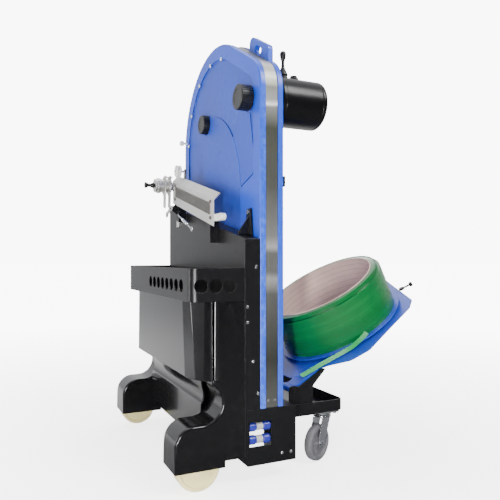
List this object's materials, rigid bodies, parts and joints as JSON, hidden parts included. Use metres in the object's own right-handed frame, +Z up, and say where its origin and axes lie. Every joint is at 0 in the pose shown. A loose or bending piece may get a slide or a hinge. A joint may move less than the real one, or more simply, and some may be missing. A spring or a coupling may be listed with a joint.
{
  "type": "semi automatic strapping machine",
  "caption": "Wheeled pallet strapping machine: upright lance magazine with motor, black column with tool tray and cowl, tilted strap coil tray and tool holder.",
  "frame": {"origin": "on the floor, below the middle of the whole machine's bounding box", "axes": "+Z up; the lance leaves towards -Y; the machine rolls along X, tool tray on the -X side and strap coil on the +X side"},
  "size_m": [1.0294, 0.8655, 1.49],
  "materials": {
    "blue_plastic": "semi-gloss moulded plastic",
    "stainless": "brushed",
    "black_paint": "gloss powder coat",
    "black_moulding": "polished moulding",
    "black_plastic": "matte",
    "motor_black": "satin",
    "white_plastic": "satin",
    "nylon": "cream nylon",
    "grey_tyre": "grey rubber",
    "zinc": "zinc plated",
    "bronze": "machined",
    "dark_steel": "oiled",
    "aluminium_case": "bead blasted",
    "battery_case": "matte",
    "cardboard": "matte",
    "green_strap": "embossed polyester strap",
    "blue_roller": "glossy",
    "rubber_pad": "ribbed"
  },
  "bodies": {
    "frame": {"magazine_left_plate": "blue_plastic", "magazine_right_plate": "blue_plastic", "outer_track": "stainless", "inner_track": "black_plastic", "magazine_cover": "blue_plastic", "cover_clips": "white_plastic", "chain_lance": "dark_steel", "shaft_bushes": "bronze", "motor_flange": "motor_black", "motor_housing": "motor_black", "motor_cap": "motor_black", "joystick_collar": "black_plastic", "column_panel": "black_paint", "magazine_brace": "black_paint", "panel_screws": "zinc", "hex_bolts": "zinc", "tool_tray": "black_paint", "front_cowl": "black_moulding", "battery_shelf": "black_paint", "battery_pack": "battery_case", "motor_controller": "aluminium_case", "front_crossbeam": "black_paint", "chassis_rails": "black_paint", "axle_brackets": "black_paint", "front_axles": "zinc", "exit_box": "black_paint", "roller_pins": "zinc", "platform_frame": "black_paint", "platform_floor": "black_paint", "caster_plates": "zinc", "tray_brackets": "black_paint", "holder_plate": "stainless", "holder_pad": "rubber_pad", "holder_head": "stainless", "tool_hanger": "white_plastic"},
    "front_wheel_near": {"front_wheel_near": "nylon"},
    "front_wheel_far": {"front_wheel_far": "nylon"},
    "caster_fork_near": {"caster_fork_near": "zinc"},
    "caster_wheel_near": {"caster_wheel_near": "grey_tyre"},
    "caster_fork_far": {"caster_fork_far": "zinc"},
    "caster_wheel_far": {"caster_wheel_far": "grey_tyre"},
    "exit_roller_upper": {"exit_roller_upper": "blue_roller"},
    "exit_roller_lower": {"exit_roller_lower": "blue_roller"},
    "drive": {"drive_shaft": "zinc", "drive_sprocket": "dark_steel", "drive_knob": "black_plastic"},
    "idler": {"idler_shaft": "zinc", "idler_sprocket": "dark_steel", "idler_knob": "black_plastic"},
    "joystick": {"joystick_lever": "black_plastic"},
    "power_button": {"power_button": "black_plastic"},
    "coil_tray": {"coil_tray": "blue_plastic", "strap_tail": "green_strap"},
    "coil": {"coil_disc": "black_paint", "coil_core": "cardboard", "strap_coil": "green_strap"},
    "dancer": {"dancer_lever": "black_plastic"},
    "head_knob": {"head_knob": "black_plastic"},
    "guide_pulley": {"guide_pulley": "white_plastic"},
    "latch": {"latch_lever": "stainless"}
  },
  "joints": [
    {"name": "front_wheel_near_roll", "type": "hinge", "parent": "frame", "child": "front_wheel_near", "pos_m": [-0.437, -0.3565, 0.068], "axis": [0, 1, 0], "continuous": true},
    {"name": "front_wheel_far_roll", "type": "hinge", "parent": "frame", "child": "front_wheel_far", "pos_m": [-0.437, 0.3985, 0.068], "axis": [0, 1, 0], "continuous": true},
    {"name": "caster_near_swivel", "type": "hinge", "parent": "frame", "child": "caster_fork_near", "pos_m": [0.056, -0.2885, 0.16], "axis": [0, 0, 1], "continuous": true},
    {"name": "caster_near_roll", "type": "hinge", "parent": "caster_fork_near", "child": "caster_wheel_near", "pos_m": [0.02337, -0.30371, 0.062], "axis": [0.4226, -0.9063, 0], "continuous": true},
    {"name": "caster_far_swivel", "type": "hinge", "parent": "frame", "child": "caster_fork_far", "pos_m": [0.056, 0.2715, 0.16], "axis": [0, 0, 1], "continuous": true},
    {"name": "caster_far_roll", "type": "hinge", "parent": "caster_fork_far", "child": "caster_wheel_far", "pos_m": [0.02217, 0.28381, 0.062], "axis": [-0.342, -0.9397, 0], "continuous": true},
    {"name": "exit_roller_upper_spin", "type": "hinge", "parent": "frame", "child": "exit_roller_upper", "pos_m": [-0.236, -0.3755, 0.171], "axis": [1, 0, 0], "continuous": true},
    {"name": "exit_roller_lower_spin", "type": "hinge", "parent": "frame", "child": "exit_roller_lower", "pos_m": [-0.236, -0.3755, 0.13], "axis": [1, 0, 0], "continuous": true},
    {"name": "drive_spin", "type": "hinge", "parent": "frame", "child": "drive", "pos_m": [-0.196, -0.3095, 1.22], "axis": [1, 0, 0], "continuous": true},
    {"name": "idler_spin", "type": "hinge", "parent": "frame", "child": "idler", "pos_m": [-0.196, 0.0905, 1.22], "axis": [1, 0, 0], "continuous": true},
    {"name": "joystick_tilt", "type": "hinge", "parent": "frame", "child": "joystick", "pos_m": [-0.113, -0.3095, 1.308], "axis": [1, 0, 0], "range_deg": [-12, 12], "stiffness_Nm_per_rad": 0.6},
    {"name": "power_press", "type": "slide", "parent": "frame", "child": "power_button", "axis": [0, 0, -1], "range_m": [0, 0.003], "stiffness_N_per_m": 400, "springref_m": -0.002},
    {"name": "coil_tray_tilt", "type": "hinge", "parent": "frame", "child": "coil_tray", "pos_m": [-0.081, -0.1405, 0.256], "axis": [0, 1, 0], "range_deg": [-12, 0]},
    {"name": "coil_spin", "type": "hinge", "parent": "coil_tray", "child": "coil", "pos_m": [0.2226, -0.1405, 0.45181], "axis": [-0.509, 0, 0.8607], "continuous": true},
    {"name": "dancer_swing", "type": "hinge", "parent": "coil_tray", "child": "dancer", "pos_m": [0.45751, -0.2305, 0.57912], "axis": [-0.509, 0, 0.8607], "range_deg": [-25, 30], "stiffness_Nm_per_rad": 0.3},
    {"name": "head_knob_turn", "type": "hinge", "parent": "frame", "child": "head_knob", "pos_m": [-0.402, 0.2775, 0.99771], "axis": [1, 0, 0], "continuous": true},
    {"name": "guide_pulley_spin", "type": "hinge", "parent": "frame", "child": "guide_pulley", "pos_m": [-0.322, 0.1855, 1.04731], "axis": [1, 0, 0], "continuous": true},
    {"name": "latch_swing", "type": "hinge", "parent": "frame", "child": "latch", "pos_m": [-0.345, 0.2015, 0.89842], "axis": [1, 0, 0], "range_deg": [-35, 0], "stiffness_Nm_per_rad": 0.4, "springref_deg": 8.59}
  ],
  "couplings": [
    {"joint": "idler_spin", "follows": "drive_spin", "ratio": 1}
  ]
}
